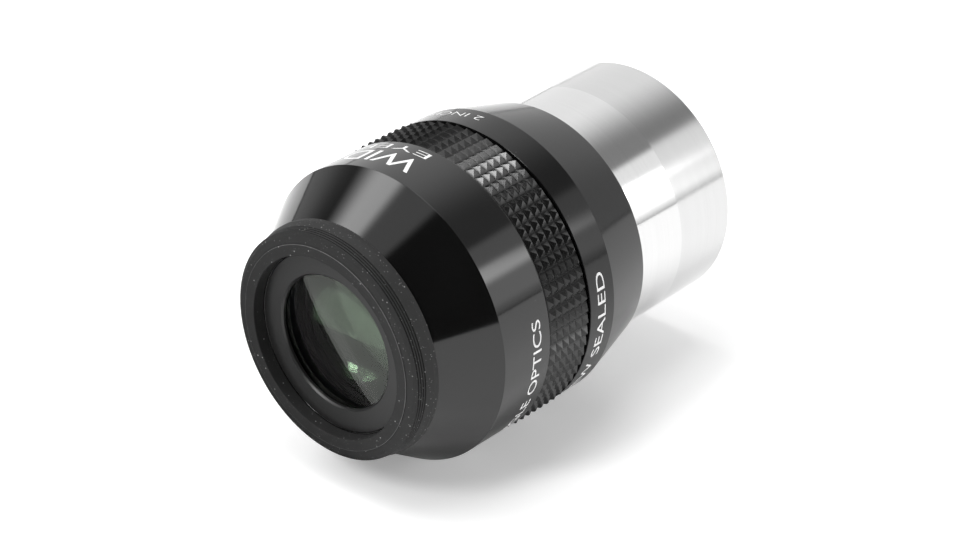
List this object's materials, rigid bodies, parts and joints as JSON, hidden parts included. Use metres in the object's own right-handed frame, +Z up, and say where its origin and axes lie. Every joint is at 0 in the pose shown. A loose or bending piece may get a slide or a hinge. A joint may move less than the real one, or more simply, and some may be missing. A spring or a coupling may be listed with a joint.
{
  "type": "telescope eyepiece",
  "caption": "Wide-field telescope eyepiece with a push-fit metal barrel, knurled grip, coned black housing and fold-down rubber eyecup.",
  "frame": {"origin": "centre of the barrel's mouth, on the optical axis, where the filter thread starts", "axes": "+Y out of the barrel's mouth towards the telescope, -Y towards the eye, +Z up with the eyepiece lying on its side"},
  "size_m": [0.0614, 0.0911, 0.0614],
  "materials": {
    "barrel_chrome": "bright turned, clear coated",
    "black_anodised": "semi-gloss black anodised",
    "black_anodised_grip": "knurled black anodised",
    "satin_black_ring": "satin black anodised",
    "flat_black": "matt black against stray light",
    "eyecup_rubber": "matt moulded rubber",
    "seal_rubber": "smooth nitrile",
    "coated_glass": "polished, multi-coated",
    "screw_steel": "turned"
  },
  "bodies": {
    "eyepiece": {"barrel": "barrel_chrome", "field_stop_ring": "flat_black", "rear_housing": "black_anodised", "grip_ring": "black_anodised_grip", "front_housing": "black_anodised", "eyecup_base": "eyecup_rubber", "eyecup_flap": "eyecup_rubber", "eye_lens_retaining_ring": "satin_black_ring", "eye_lens": "coated_glass", "eye_lens_oring": "seal_rubber", "lens_cell": "flat_black", "front_crown_lens": "coated_glass", "front_flint_lens": "coated_glass", "front_spacer": "flat_black", "middle_lens": "coated_glass", "rear_spacer": "flat_black", "field_crown_lens": "coated_glass", "field_flint_lens": "coated_glass", "field_lens_retaining_ring": "flat_black", "field_lens_oring": "seal_rubber", "housing_oring": "seal_rubber", "cell_lock_ring": "flat_black", "purge_screw": "screw_steel", "purge_screw_seal": "seal_rubber"},
    "eyecup_edge": {"eyecup_rim": "eyecup_rubber"}
  },
  "joints": [
    {"name": "eyecup_fold", "type": "slide", "parent": "eyepiece", "child": "eyecup_edge", "axis": [0, -1, 0], "range_m": [0, 0.0098], "deforming": ["eyecup_flap"]}
  ]
}
